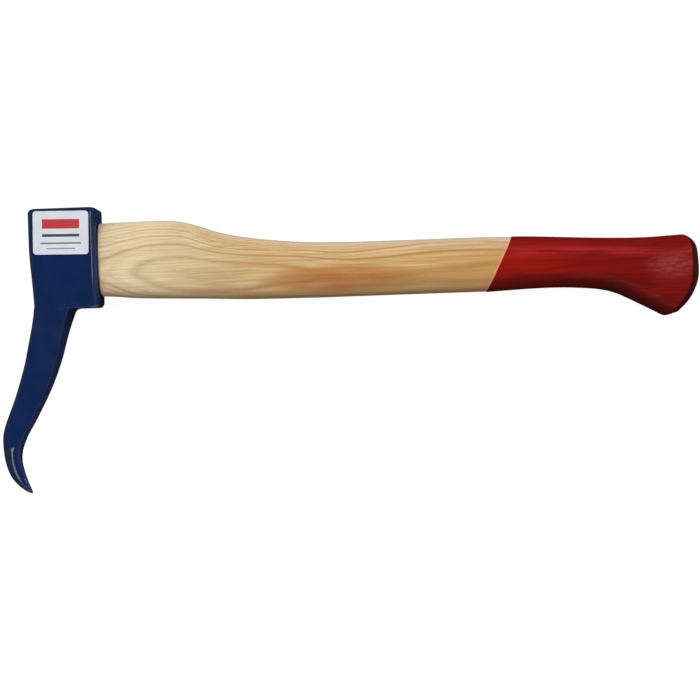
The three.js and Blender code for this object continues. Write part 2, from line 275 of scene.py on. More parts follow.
def block_ring(bm, outer, inner, half_thickness, outer_rounding, inner_rounding, roundness=0):
    """Upright ring between two plan points: a block with rounded corners, or an oval at roundness 1."""
    half_width = (outer - inner).length / 2
    middle = (outer + inner) / 2
    across = (inner - outer).normalized()
    sides = 4 * (CORNER_STEPS + 1)
    ring = circle(bm, sides)
    for v, angle in ring:
        corner, step = divmod(round(angle * sides / math.tau) % sides, CORNER_STEPS + 1)
        turn = (corner + step / CORNER_STEPS) * math.pi / 2
        side, rounding = (1, inner_rounding) if corner in (0, 3) else (-1, outer_rounding)
        radius = min(rounding, FULLEST_ROUNDING * half_width, FULLEST_ROUNDING * half_thickness)
        up = 1 if corner < 2 else -1
        reach = side * (half_width - radius) + radius * math.cos(turn)
        rise = up * (half_thickness - radius) + radius * math.sin(turn)
        reach = lerp(reach, half_width * math.cos(angle), roundness)
        rise = lerp(rise, half_thickness * math.sin(angle), roundness)
        v.co = (middle.x + reach * across.x, middle.y + reach * across.y, rise)
    return [v for v, _ in ring]


def ring_edges(ring):
    held = set(ring)
    return list({e for v in ring for e in v.link_edges if e.other_vert(v) in held})


def skin(bm, rings, cap_start=True, cap_end=True):
    """Closed skin over a row of rings."""
    loops = [ring_edges(ring) for ring in rings]
    for a, b in zip(loops, loops[1:]):
        bmesh.ops.bridge_loops(bm, edges=a + b)
    if cap_start:
        bmesh.ops.contextual_create(bm, geom=loops[0])
    if cap_end:
        bmesh.ops.contextual_create(bm, geom=loops[-1])
    bmesh.ops.recalc_face_normals(bm, faces=bm.faces)


# Pieces as objects

def set_piece(name, bm, node, material):
    """Finishes a bmesh as the piece that stands for a CAD node."""
    bmesh.ops.translate(bm, vec=(0, 0, MIDDLE_Z), verts=bm.verts)
    bmesh.ops.scale(bm, vec=(MM, MM, MM), verts=bm.verts)
    for face in bm.faces:
        face.smooth = True
    for edge in bm.edges:
        edge.smooth = edge.calc_face_angle(0) < SHARP_ANGLE
    piece = plain_object(name, bm)
    piece.modifiers.new("even shading", "WEIGHTED_NORMAL").keep_sharp = True
    piece.data.materials.append(material)
    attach(piece, "root")
    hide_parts(node)


def plain_object(name, bm):
    mesh = bpy.data.meshes.new(name)
    bm.to_mesh(mesh)
    bm.free()
    made = bpy.data.objects.new(name, mesh)
    bpy.context.scene.collection.objects.link(made)
    return made


def combine(bm, operation, *others):
    """The solid in bm cut by, or held inside, other solids. Returns a new bmesh."""
    body = plain_object("blank", bm)
    cutters = [plain_object("cutter", other) for other in others]
    for cutter in cutters:
        cut = body.modifiers.new("cut", "BOOLEAN")
        cut.operation = operation
        cut.solver = "EXACT"
        cut.object = cutter
    bpy.context.view_layer.update()
    result = bmesh.new()
    result.from_object(body, bpy.context.evaluated_depsgraph_get())
    for used in [body, *cutters]:
        mesh = used.data
        bpy.data.objects.remove(used)
        bpy.data.meshes.remove(mesh)
    bmesh.ops.remove_doubles(result, verts=result.verts, dist=CUT_WELD)
    bmesh.ops.dissolve_degenerate(result, edges=result.edges, dist=FINE_WELD)
    return result


# Head

def eye_ring(bm, x, gap):
    """Ring of the eye at a place along X, less a gap all round."""
    flare = (MOUTH_X - x) / EYE_LENGTH
    half_height = (EYE_HEIGHT + EYE_HEIGHT_FLARE * flare) / 2 - gap
    half_width = (EYE_WIDTH + EYE_WIDTH_FLARE * flare) / 2 - gap

    def place(angle):
        up = filled_out(math.cos(angle), EYE_SQUARENESS) * half_height
        return x, up, filled_out(math.sin(angle), EYE_SQUARENESS) * half_width

    return oval_ring(bm, EYE_SIDES, place)


def eye_cutter():
    """Solid of the eye, with a rim that turns outwards at the outer face."""
    bm = bmesh.new()
    rings = []
    for share in spread(0, 1, EYE_RIM_STEPS):
        back = EYE_RIM * share
        rings.append(eye_ring(bm, OUTER_X + back, -draw_in(back, EYE_RIM)))
    rings.insert(0, eye_ring(bm, OUTER_X - OVERSHOOT, -EYE_RIM - EYE_RIM_RUNOUT))
    rings.append(eye_ring(bm, MOUTH_X + OVERSHOOT, 0))
    skin(bm, rings)
    return bm


def beak_sections():
    """Beak's sections from the crotch to the point: share of its length, outer and inner plan points."""
    lean = math.radians(BEAK_LEAN[0][1])
    fillet_x = CROTCH_X + CROTCH_RADIUS * math.tan(math.pi / 4 - lean / 2)
    root = Vector((-math.cos(lean), math.sin(lean)))
    centre = Vector((fillet_x, UNDERSIDE_Y - CROTCH_RADIUS)) + root * (CROTCH_RADIUS + BEAK_WIDTH[0][1] / 2)
    sections = []
    for step in range(BEAK_STEPS + 1):
        share = step / BEAK_STEPS
        angle = math.radians(along(BEAK_LEAN, share))
        out = Vector((-math.cos(angle), math.sin(angle)))
        half = along(BEAK_WIDTH, share) / 2
        sections.append((share, centre + out * half, centre - out * half))
        ahead = math.radians(along(BEAK_LEAN, share + 0.5 / BEAK_STEPS))
        centre = centre - Vector((math.sin(ahead), math.cos(ahead))) * BEAK_LENGTH / BEAK_STEPS
    return fillet_x, lean, sections


def arc(centre, radius, start, end, steps):
    return [centre + radius * Vector((math.cos(a), math.sin(a))) for a in spread(start, end, steps)]


def underside_path(fillet_x, lean):
    """Mouth corner, underside and crotch fillet, as plan points down to the beak's inner edge."""
    corner = Vector((MOUTH_X - UNDERSIDE_CORNER, UNDERSIDE_Y + UNDERSIDE_CORNER))
    crotch = Vector((fillet_x, UNDERSIDE_Y - CROTCH_RADIUS))
    flat = [Vector((x, UNDERSIDE_Y)) for x in spread(corner.x, fillet_x, UNDERSIDE_STEPS)[1:-1]]
    return [
        *arc(corner, UNDERSIDE_CORNER, 0, -math.pi / 2, TURN_STEPS),
        *flat,
        *arc(crotch, CROTCH_RADIUS, math.pi / 2, math.pi - lean, TURN_STEPS),
    ]


def head_mesh():
    """Block and beak as one skin from the poll to the point, with the eye cut through."""
    bm = bmesh.new()
    fillet_x, lean, sections = beak_sections()
    root_outer = sections[0][1]

    def outer_at(y):
        slope = smoothstep(-y, -OUTER_SLOPE_START, -root_outer.y)
        return Vector((lerp(OUTER_X, root_outer.x, slope), y))

    rings = []
    for step in range(BLOCK_STEPS + 1):
        depth = OUTER_POLL_CORNER * (1 - math.cos(step / BLOCK_STEPS * math.pi / 2))
        outer = outer_at(POLL_Y - depth) + Vector((draw_in(depth, OUTER_POLL_CORNER), 0))
        inner = Vector((MOUTH_X - draw_in(depth, POLL_CORNER), POLL_Y - depth))
        half = HEAD_THICKNESS / 2 - draw_in(depth, CHEEK_ROUNDING)
        rings.append(block_ring(bm, outer, inner, half, CHEEK_ROUNDING, MOUTH_EDGE_ROUNDING))
    turn = underside_path(fillet_x, lean)
    fan_top = turn[0].y
    for y in spread(POLL_Y - OUTER_POLL_CORNER, fan_top, BLOCK_STEPS)[1:-1]:
        inner = Vector((MOUTH_X, y))
        half = along(BLOCK_THICKNESS, y) / 2
        rings.append(block_ring(bm, outer_at(y), inner, half, CHEEK_ROUNDING, MOUTH_EDGE_ROUNDING))
    for step, inner in enumerate(turn):
        share = step / (len(turn) - 1)
        outer = outer_at(lerp(fan_top, root_outer.y, share))
        half = along(BLOCK_THICKNESS, (outer.y + inner.y) / 2) / 2
        edge = lerp(MOUTH_EDGE_ROUNDING, UNDERSIDE_EDGE_ROUNDING, smoothstep(share, *UNDERSIDE_CHANGE))
        edge = lerp(edge, BEAK_INNER_ROUNDING[0][1], smoothstep(share, *CROTCH_CHANGE))
        rings.append(block_ring(bm, outer, inner, half, CHEEK_ROUNDING, edge))
    for share, outer, inner in sections[1:]:
        half = along(BEAK_THICKNESS, share) / 2
        roundness = along(BEAK_ROUNDNESS, share)
        edges = along(BEAK_OUTER_ROUNDING, share), along(BEAK_INNER_ROUNDING, share)
        rings.append(block_ring(bm, outer, inner, half, *edges, roundness))
    skin(bm, rings)
    return combine(bm, "DIFFERENCE", eye_cutter())


# Handle and lacquer

def handle_section(x, grow):
    """Back, belly, half width and squareness of the handle at a place along X."""
    from_head = x - SHOULDER_X
    from_end = KNOB_END_X - x
    edge = draw_in(from_head, SHOULDER_ROUNDING) if from_head < SHOULDER_ROUNDING else 0
    thick = along(THICKNESS_FROM_HEAD, from_head)
    back = GRIP_BACK + (SHOULDER_HALF_HEIGHT - GRIP_BACK) * along(BACK_FROM_HEAD, from_head)
    back -= KNOB_BACK_DIP * along(BACK_FROM_END, from_end)
    belly = GRIP_BELLY + (SHOULDER_HALF_HEIGHT - GRIP_BELLY) * along(BELLY_FROM_HEAD, from_head)
    belly += KNOB_FLARE * along(BELLY_FROM_END, from_end)
    half = GRIP_THICKNESS / 2 + (SHOULDER_HALF_WIDTH - GRIP_THICKNESS / 2) * thick
    half += (KNOB_HALF_THICKNESS - GRIP_THICKNESS / 2) * along(THICKNESS_FROM_END, from_end)
    squareness = lerp(GRIP_SQUARENESS, SHOULDER_SQUARENESS, thick)
    squareness = lerp(squareness, KNOB_SQUARENESS, along(THICKNESS_FROM_END, from_end))
    return back - edge + grow, -belly + edge - grow, half - edge + grow, squareness


def handle_point(x, angle, grow=0):
    back, belly, half, squareness = handle_section(x, grow)
    y = (back + belly) / 2 + filled_out(math.cos(angle), squareness) * (back - belly) / 2
    return Vector((x, y, filled_out(math.sin(angle), squareness) * half))


def dome_x(y, z, grow):
    """Place of the knob's domed end over a point across the handle."""
    crown = END_CROWN_RADIUS - math.sqrt(END_CROWN_RADIUS ** 2 - z * z)
    return KNOB_END_X + grow - along(END_PROFILE, y) - crown


def edge_x(angle, grow):
    """Where the side of the knob meets its domed end, found by halving."""
    low, high = EDGE_SEARCH
    for _ in range(EDGE_HALVINGS):
        x = (low + high) / 2
        p = handle_point(x, angle, grow)
        low, high = (x, high) if x < dome_x(p.y, p.z, grow) else (low, x)
    return x


def dip_x(angle):
    """Where the slanted dip line crosses the handle's side, found in rounds."""
    x = KNOB_END_X - LACQUER_LENGTH
    for _ in range(DIP_ROUNDS):
        y = handle_point(x, angle).y
        x = KNOB_END_X - LACQUER_LENGTH + (y - GRIP_CENTRE_Y) * math.tan(DIP_LEAN)
    return x


def shank_rings(bm, starts, shares, grow):
    """Rings from a start line to the knob's edge, at shares of the way. grow(share) is added all round."""
    ends = {}

    def place(angle, share):
        if angle not in ends:
            ends[angle] = (starts(angle), edge_x(angle, grow(1)))
        return handle_point(lerp(*ends[angle], share), angle, grow(share))

    return [oval_ring(bm, OVAL_SIDES, lambda angle, s=share: place(angle, s)) for share in shares]


def dome_rings(bm, edge_ring, grow, steps):
    """Rings over the domed end, from the knob's edge inwards."""
    rim = [v.co.copy() for v in edge_ring]
    rings = []
    for share in spread(1, DOME_CENTRE_SHARE, steps)[1:]:
        ring = [v for v, _ in circle(bm, OVAL_SIDES)]
        for v, edge in zip(ring, rim):
            y = END_CENTRE_Y + (edge.y - END_CENTRE_Y) * share
            v.co = (dome_x(y, edge.z * share, grow), y, edge.z * share)
        rings.append(ring)
    return rings


def soften(bm, ring, width, segments):
    bmesh.ops.bevel(bm, geom=ring_edges(ring), offset=width, offset_type="OFFSET", segments=segments,
                    profile=0.5, affect="EDGES", material=-1, clamp_overlap=True)


def wedge_prism(gap, depth):
    """Wedge across the tongue: thick at the tongue's end, thin at a depth inside."""
    bm = bmesh.new()
    bmesh.ops.create_cube(bm, size=1)
    start = -OVERSHOOT if gap > 0 else 0
    taper = (WEDGE_THICK_END - WEDGE_THIN_END) / WEDGE_DEPTH
    length = EYE_HEIGHT + EYE_HEIGHT_FLARE + 2 * OVERSHOOT
    for v in bm.verts:
        inside = start if v.co.x < 0 else depth
        half = (WEDGE_THICK_END - taper * inside) / 2 + gap
        v.co = (TONGUE_END_X + inside, v.co.y * length, math.copysign(half, v.co.z))
    return bm


def tongue_solid(gap):
    bm = bmesh.new()
    skin(bm, [eye_ring(bm, x, gap) for x in spread(TONGUE_END_X, SHOULDER_X, BLANK_STEPS)])
    return bm


def ring_wedge_mesh(gap, proud=0):
    """Round wedge about the eye's axis: a full wall at the tongue's end, a thin edge inside."""
    outer = RING_DIAMETER / 2 + gap
    inner = outer - RING_WALL - 2 * gap
    inner_at_edge = outer - RING_EDGE - 2 * gap
    start = -OVERSHOOT if gap > 0 else -proud
    end = RING_DEPTH + gap
    bm = bmesh.new()
    profile = [(start, inner), (start, outer), (end, outer), (end, inner_at_edge)]
    verts = [bm.verts.new((TONGUE_END_X + x, r, 0)) for x, r in profile]
    edges = [bm.edges.new(pair) for pair in zip(verts, verts[1:] + verts[:1])]
    bmesh.ops.spin(bm, geom=verts + edges, cent=(0, 0, 0), axis=(1, 0, 0), angle=math.tau, steps=EYE_SIDES,
                   use_merge=True)
    bmesh.ops.remove_doubles(bm, verts=bm.verts, dist=FINE_WELD)
    bmesh.ops.recalc_face_normals(bm, faces=bm.faces)
    return bm


def handle_mesh():
    """Tongue, shoulder, grip and knob in one piece, split by the kerf and grooved for the ring."""
    bm = bmesh.new()
    tongue = [eye_ring(bm, x, FIT_GAP) for x in spread(TONGUE_END_X, SHOULDER_X, TONGUE_STEPS)]
    turns = spread(0, math.pi / 2, SHOULDER_STEPS)
    shoulder = [SHOULDER_X + SHOULDER_ROUNDING * (1 - math.cos(turn)) for turn in turns]
    places = shoulder + spread(SHOULDER_X + SHOULDER_ROUNDING, SHANK_START_X, SWELL_STEPS)[1:]
    side = [oval_ring(bm, OVAL_SIDES, lambda angle, x=x: handle_point(x, angle)) for x in places]
    shares = spread(0, 1, SHANK_STEPS)[1:]
    side += shank_rings(bm, lambda angle: SHANK_START_X, shares, lambda share: 0)
    dome = dome_rings(bm, side[-1], 0, DOME_STEPS)
    skin(bm, tongue, cap_end=False)
    skin(bm, side + dome, cap_start=False)
    bmesh.ops.bridge_loops(bm, edges=ring_edges(tongue[-1]) + ring_edges(side[0]))
    soften(bm, side[-1], KNOB_EDGE, EDGE_STEPS)
    bmesh.ops.recalc_face_normals(bm, faces=bm.faces)
    return combine(bm, "DIFFERENCE", wedge_prism(DRIVEN_GAP, WEDGE_DEPTH + KERF_RUNOUT),
                   ring_wedge_mesh(DRIVEN_GAP))


def lacquer_mesh():
    """Dip coat: an inner skin just off the wood and an outer one, joined by a rounded lip at the dip line."""
    lip_shares = [place / LACQUER_LENGTH for place, _ in LIP]
    shares = lip_shares + spread(lip_shares[-1], 1, COAT_STEPS)[1:]
    bm = bmesh.new()
    outer = shank_rings(bm, dip_x, shares, lambda share: along(LIP, share * LACQUER_LENGTH))
    outer_dome = dome_rings(bm, outer[-1], LACQUER_GAP + LACQUER_THICKNESS, COAT_DOME_STEPS)
    inner = shank_rings(bm, dip_x, spread(0, 1, INSIDE_STEPS), lambda share: LACQUER_GAP)
    inner_dome = dome_rings(bm, inner[-1], LACQUER_GAP, INSIDE_DOME_STEPS)
    skin(bm, [*reversed(inner_dome), *reversed(inner), *outer, *outer_dome])
    soften(bm, outer[-1], KNOB_EDGE, COAT_EDGE_STEPS)
    bmesh.ops.recalc_face_normals(bm, faces=bm.faces)
    return bm


def wedge_mesh():
    held = combine(wedge_prism(0, WEDGE_DEPTH), "INTERSECT", tongue_solid(FIT_GAP))
    return combine(held, "DIFFERENCE", ring_wedge_mesh(DRIVEN_GAP))


def label_mesh():
    """Foil plate with rounded corners and a soft edge, on the front cheek."""
    bm = bmesh.new()
    bmesh.ops.create_grid(bm, x_segments=1, y_segments=1, size=0.5)
    bmesh.ops.scale(bm, vec=(LABEL_WIDTH, LABEL_HEIGHT, 1), verts=bm.verts)
    bmesh.ops.bevel(bm, geom=bm.verts[:], offset=LABEL_RADIUS, offset_type="OFFSET",
                    segments=LABEL_CORNER_STEPS, profile=0.5, affect="VERTICES", material=-1)
    lifted = bmesh.ops.extrude_face_region(bm, geom=bm.faces[:])["geom"]
    top = [v for v in lifted if isinstance(v, bmesh.types.BMVert)]
    bmesh.ops.translate(bm, vec=(0, 0, LABEL_THICKNESS), verts=top)
    top_edges = [e for e in lifted if isinstance(e, bmesh.types.BMEdge)]
    bmesh.ops.bevel(bm, geom=top_edges, offset=LABEL_EDGE, offset_type="OFFSET", segments=LABEL_EDGE_STEPS,
                    profile=0.5, affect="EDGES", material=-1)
    bmesh.ops.rotate(bm, cent=(0, 0, 0), matrix=Matrix.Rotation(LABEL_TILT, 3, "Z"), verts=bm.verts)
    bmesh.ops.translate(bm, vec=(LABEL_CENTRE_X, LABEL_CENTRE_Y, MIDDLE_Z), verts=bm.verts)
    bmesh.ops.recalc_face_normals(bm, faces=bm.faces)
    return bm


# Node helpers

def feed(tree, node, inputs):
    """Gives a node its inputs: a socket is linked, anything else is set."""
    for key, value in inputs.items():
        if isinstance(value, bpy.types.NodeSocket):
            tree.links.new(value, node.inputs[key])
        else:
            node.inputs[key].default_value = value


def put(tree, kind, inputs=None, **settings):
    """Adds a node with its settings and inputs."""
    made = tree.nodes.new(kind)
    for key, value in settings.items():
        setattr(made, key, value)
    feed(tree, made, inputs or {})
    return made


def calc(tree, operation, *values):
    """Result of a Math node on numbers or sockets."""
    return put(tree, "ShaderNodeMath", dict(enumerate(values)), operation=operation).outputs[0]


def product(tree, first, *others):
    for other in others:
        first = calc(tree, "MULTIPLY", first, other)
    return first


def linear(red, green, blue):
    """Colour from its 0 to 255 screen values."""
    def channel(value):
        share = value / 255
        return share / 12.92 if share <= 0.04045 else ((share + 0.055) / 1.055) ** 2.4

    return channel(red), channel(green), channel(blue), 1.0


def blend(tree, share, start, end):
    """Colour mixed from start to end by a share."""
    return put(tree, "ShaderNodeMix", {0: share, 6: start, 7: end}, data_type="RGBA").outputs[2]


def tinted(tree, colour, tints):
    """Colour under tints laid on in turn, each as (where it lies, how strongly, screen colour)."""
    for where, strength, ink in tints:
        colour = blend(tree, product(tree, where, strength), colour, linear(*ink))
    return colour


def curve(tree, value, points):
    """Float Curve through points whose places and values run from 0 to 1."""
    made = put(tree, "ShaderNodeFloatCurve", {"Value": value})
    line = made.mapping.curves[0]
    for place, height in points[1:-1]:
        line.points.new(place, height)
    line.points[0].location = points[0]
    line.points[-1].location = points[-1]
    made.mapping.update()
    return made.outputs[0]


def between(tree, value, low, high, to_low=0.0, to_high=1.0):
    """Value mapped smoothly from one range to another, and held there."""
    return put(tree, "ShaderNodeMapRange",
               {"Value": value, "From Min": low, "From Max": high, "To Min": to_low, "To Max": to_high},
               interpolation_type="SMOOTHSTEP").outputs["Result"]


def xyz(tree, vector):
    return put(tree, "ShaderNodeSeparateXYZ", {0: vector}).outputs


def facing(tree):
    """The surface's direction, along X, Y and Z."""
    return xyz(tree, put(tree, "ShaderNodeTexCoord").outputs["Normal"])


def off_spot(tree, x, y, spot):
    """Squared distance from a spot's middle, 1 on its rim. A spot is (x, y, radius along x, along y)."""
    middle_x, middle_y, radius_x, radius_y = spot
    along_x = calc(tree, "DIVIDE", calc(tree, "SUBTRACT", x, middle_x), radius_x)
    along_y = calc(tree, "DIVIDE", calc(tree, "SUBTRACT", y, middle_y), radius_y)
    return calc(tree, "ADD", product(tree, along_x, along_x), product(tree, along_y, along_y))


def stretched_noise(tree, coordinates, grain, detail=2.0, roughness=0.5):
    """Noise whose grain has its own size along X, Y and Z."""
    scale = tuple(1 / size for size in grain)
    moved = put(tree, "ShaderNodeVectorMath", {0: coordinates, 1: scale}, operation="MULTIPLY").outputs[0]
    inputs = {"Vector": moved, "Scale": 1.0, "Detail": detail, "Roughness": roughness}
    return put(tree, "ShaderNodeTexNoise", inputs).outputs["Fac"]


def relief(tree, height, depth):
    """Normal of a bumpy surface, whose height of 1 stands for a depth in millimetres."""
    return put(tree, "ShaderNodeBump", {"Height": height, "Distance": depth * MM}).outputs["Normal"]


def new_group(name, numbers, results):
    """Node group that takes a place and some numbers, and gives numbers."""
    tree = bpy.data.node_groups.new(name, "ShaderNodeTree")
    tree.interface.new_socket(name="Place", in_out="INPUT", socket_type="NodeSocketVector")
    for label in numbers:
        tree.interface.new_socket(name=label, in_out="INPUT", socket_type="NodeSocketFloat")
    for label in results:
        tree.interface.new_socket(name=label, in_out="OUTPUT", socket_type="NodeSocketFloat")
    return tree, tree.nodes.new("NodeGroupInput"), tree.nodes.new("NodeGroupOutput")


def use_group(tree, group, inputs):
    return put(tree, "ShaderNodeGroup", inputs, node_tree=group).outputs


def new_material(name):
    """Material, its tree, its Principled shader and its place in millimetres."""
    material = bpy.data.materials.new(name)
    material.use_nodes = True
    tree = material.node_tree
    shader = tree.nodes["Principled BSDF"]
    place = put(tree, "ShaderNodeTexCoord").outputs["Object"]
    scale = put(tree, "ShaderNodeMapping", {"Vector": place, "Scale": (1 / MM, 1 / MM, 1 / MM)}).outputs[0]
    return material, tree, shader, scale


# Shared effects

# Growth rings show on the front as nested loops about the heart line. Lists hold (distance along the tool,
# value): the heart line's height, how far above and below it the third ring would lie, and how many rings the
# face has already cut at the heart line.
FIGURE_START, FIGURE_END = -20, 380
HEART_LINE = [
    (-20, -8), (23, -8), (42, -8.2), (65, -9.6), (84, -10.6), (104, -11), (127, -11.5), (140, -12.5),
    (160, -15.5), (180, -17.6), (200, -18), (222, -17.6), (257, -16.8), (300, -15.5), (380, -19)]
RISE_ABOVE = [
    (-20, 16.2), (23, 16.2), (42, 16.8), (54, 17.2), (66, 17), (82, 14), (97, 11.4), (112, 10.5), (141, 11.6),
    (165, 13.2), (183, 15), (200, 16.3), (222, 17.4), (240, 16.8), (257, 15.4), (300, 11), (380, 10)]
RISE_BELOW = [
    (-20, 13), (23, 13), (32, 15), (42, 16.4), (65, 18.9), (140, 18.9), (180, 16), (200, 14.4), (257, 11.8),
    (300, 10), (380, 10)]
RINGS_CUT = [
    (-20, 4), (14, 2.85), (23, 2.35), (32, 1.7), (42, 1), (53, 0.5), (65, 0.15), (84, 0), (104, 0.06),
    (115, 0.32), (127, 0.6), (140, 0.87), (158, 1.03), (172, 1.03), (180, 0.99), (200, 0.87), (222, 0.83),
    (257, 0.6), (300, 0.45), (380, 0.4)]
RINGS_AT_RISE = 3
HEART_RANGE, RISE_RANGE, CUT_RANGE = (-20, 0), (0, 20), (0, 4)

# A ring's darkness from edge to edge, how far under the face the next ring lies, and the face's height.
RING_PROFILE = [(0, 0), (0.1, 0.08), (0.24, 0.36), (0.36, 0.72), (0.46, 1), (0.56, 0.94), (0.67, 0.52),
                (0.78, 0.18), (0.9, 0.03), (1, 0)]
RING_DEPTH_STEP = 2.2
FACE_HEIGHT = 7

# How dark each ring of a repeated row is, and how rings sway slowly and finely: (size, detail, width).
RING_STRENGTH = [0.3, 0.62, 0.2, 0.85, 0.3, 0.8, 0.3, 0.55, 0.35, 0.6, 0.3, 0.5, 0.25, 0.6, 0.4, 0.5, 0.3]
RING_CYCLE = len(RING_STRENGTH) - 1
SWAYS = [((60, 12, 12), 1.5, 0.18), ((22, 3, 3), 2.0, 0.14)]

# Fibres and pores: sizes along X, Y and Z. Pores are densest in the dark of a ring.
FIBRE_SIZE = (34, 0.9, 0.9)
FIBRE_DETAIL, FIBRE_ROUGHNESS = 4.0, 0.6
PORE_SIZE = (4.5, 0.22, 0.22)
PORE_EDGES = (0.58, 0.7)
PORES_BETWEEN_RINGS = 0.15

# Where the broad unevenness turns from one look to the other.
MASK_EDGES = (0.35, 0.65)


def length_curve(tree, x, points, low, high):
    """Curve along the tool through (distance, value) points, with values from low to high."""
    length = FIGURE_END - FIGURE_START
    share = put(tree, "ShaderNodeMapRange", {
        "Value": x, "From Min": FIGURE_START, "From Max": FIGURE_END}).outputs[0]
    shaped = curve(tree, share, [
        ((place - FIGURE_START) / length, (value - low) / (high - low)) for place, value in points])
    return put(tree, "ShaderNodeMapRange", {"Value": shaped, "To Min": low, "To Max": high}).outputs[0]


def ash_figure():
    """Growth rings, fibres and pores of ash, from places in millimetres."""
    tree, given, result = new_group("ash figure", [], ["Ring line", "Ring tone", "Fibre", "Pores"])
    place = given.outputs["Place"]
    x, y, z = xyz(tree, place)
    heart = length_curve(tree, x, HEART_LINE, *HEART_RANGE)
    above = length_curve(tree, x, RISE_ABOVE, *RISE_RANGE)
    below = length_curve(tree, x, RISE_BELOW, *RISE_RANGE)
    cut = length_curve(tree, x, RINGS_CUT, *CUT_RANGE)
    across = calc(tree, "SUBTRACT", y, heart)
    rise_up = calc(tree, "DIVIDE", across, above)
    rise_down = calc(tree, "DIVIDE", across, calc(tree, "MULTIPLY", below, -1.0))
    rise = calc(tree, "MAXIMUM", rise_up, rise_down)
    rings_out = product(tree, rise, rise, RINGS_AT_RISE)
    height = calc(tree, "SUBTRACT", z, MIDDLE_Z)
    under = calc(tree, "MAXIMUM", calc(tree, "SUBTRACT", FACE_HEIGHT, height), 0.0)
    deep = calc(tree, "DIVIDE", under, RING_DEPTH_STEP)
    sways = [calc(tree, "MULTIPLY_ADD", stretched_noise(tree, place, size, detail), width, -width / 2)
             for size, detail, width in SWAYS]
    sway = calc(tree, "ADD", *sways)
    rings = calc(tree, "ADD", calc(tree, "ADD", rings_out, cut), calc(tree, "ADD", deep, sway))
    in_cycle = calc(tree, "FLOORED_MODULO", calc(tree, "ROUND", rings), RING_CYCLE)
    strength = curve(tree, calc(tree, "DIVIDE", in_cycle, RING_CYCLE),
                     [(ring / RING_CYCLE, value) for ring, value in enumerate(RING_STRENGTH)])
    line = curve(tree, calc(tree, "FRACT", calc(tree, "ADD", rings, 0.5)), RING_PROFILE)
    ring_line = product(tree, line, strength)
    ring_tone = put(tree, "ShaderNodeTexWhiteNoise", {"W": calc(tree, "FLOOR", rings)}, noise_dimensions="1D")
    fibre = stretched_noise(tree, place, FIBRE_SIZE, FIBRE_DETAIL, FIBRE_ROUGHNESS)
    pores = between(tree, stretched_noise(tree, place, PORE_SIZE, 1.0), *PORE_EDGES)
    pores = product(tree, pores, calc(tree, "ADD", ring_line, PORES_BETWEEN_RINGS))
    feed(tree, result, {
        "Ring line": ring_line, "Ring tone": ring_tone.outputs["Value"], "Fibre": fibre, "Pores": pores})
    return tree


def fine_unevenness():
    """Small and broad unevenness of a surface, as a height and a mask."""
    tree, given, result = new_group(
        "fine unevenness", ["Small size", "Broad size", "Broad share"], ["Height", "Mask"])

    def noise(size):
        place = {0: given.outputs["Place"], 1: given.outputs[size]}
        scaled = put(tree, "ShaderNodeVectorMath", place, operation="DIVIDE").outputs[0]
        return put(tree, "ShaderNodeTexNoise", {"Vector": scaled, "Scale": 1.0}).outputs["Fac"]

    small, broad = noise("Small size"), noise("Broad size")
    height = calc(tree, "ADD", small, product(tree, broad, given.outputs["Broad share"]))
    feed(tree, result, {"Height": height, "Mask": between(tree, broad, *MASK_EDGES)})
    return tree


ASH_FIGURE = ash_figure()
FINE_UNEVENNESS = fine_unevenness()


def unevenness(tree, place, small_size, broad_size, broad_share):
    return use_group(tree, FINE_UNEVENNESS, {
        "Place": place, "Small size": small_size, "Broad size": broad_size, "Broad share": broad_share})


# Materials

# Colours are screen values from 0 to 255. Sizes, depths of relief and places are in millimetres. A fade holds
# where a mask starts and where it is full. Unevenness holds the small and the broad size and the broad share.

BLUES = linear(14, 35, 76), linear(17, 38, 80)
# Painted shade on the outer edge roundings.
BLUE_EDGE_SHADE = (13, 31, 48)
# Painted reflection in a pale strip along the block's underside, and where that strip lies along X, Y and Z.
BLUE_UNDERSIDE_REFLECTION = (124, 128, 144)
UNDERSIDE_REFLECTION_FADES = (3.6, 6.6), (-34, -31), (19, 24)
BLUE_UNEVENNESS = (0.9, 14.0, 5.0)
BLUE_RELIEF = 0.004
BLUE_ROUGHNESS = (0.14, 0.18)
FORGED_ROUGHER = 0.08
BLUE_SPECULAR, FORGED_SPECULAR_LOSS = 0.5, -0.3
FORGED_GRAIN = (5, 5, 5)
FORGED_DEPTH = 30.0


def blue_paint():
    """Glossy on the ground cheeks, duller on the forged sides, with painted shade where it rounds an outer
    edge and a painted pale reflection along the block's underside.
    """
    material, tree, shader, place = new_material("blue dip paint")
    rough = unevenness(tree, place, *BLUE_UNEVENNESS)
    facing_x, facing_y, facing_z = facing(tree)
    level = calc(tree, "ABSOLUTE", facing_z)
    side = between(tree, level, 0.6, 0.15)
    rounded = product(tree, between(tree, level, 0.999, 0.91), between(tree, level, 0.05, 0.3))
    # Painted shade: roundings turned towards the outer face are tinted dark.
    outer_edge_shade = product(tree, rounded, between(tree, facing_x, 0.3, 0.0))
    # Painted reflection: a pale strip on faces turned down along the block's underside.
    underside = between(tree, facing_y, -0.45, -0.62)
    for coordinate, fade in zip(xyz(tree, place), UNDERSIDE_REFLECTION_FADES):
        underside = product(tree, underside, between(tree, coordinate, *fade))
    colour = tinted(tree, blend(tree, rough["Mask"], *BLUES), [
        (outer_edge_shade, 0.8, BLUE_EDGE_SHADE),
        (underside, 0.9, BLUE_UNDERSIDE_REFLECTION),
    ])
    gloss = between(tree, rough["Mask"], 0, 1, *BLUE_ROUGHNESS)
    forged = product(tree, stretched_noise(tree, place, FORGED_GRAIN), side, FORGED_DEPTH)
    feed(tree, shader, {
        "Base Color": colour,
        "Roughness": calc(tree, "MULTIPLY_ADD", side, FORGED_ROUGHER, gloss),
        "Specular IOR Level": calc(tree, "MULTIPLY_ADD", side, FORGED_SPECULAR_LOSS, BLUE_SPECULAR),
        "Normal": relief(tree, calc(tree, "ADD", rough["Height"], forged), BLUE_RELIEF),
    })
    return material


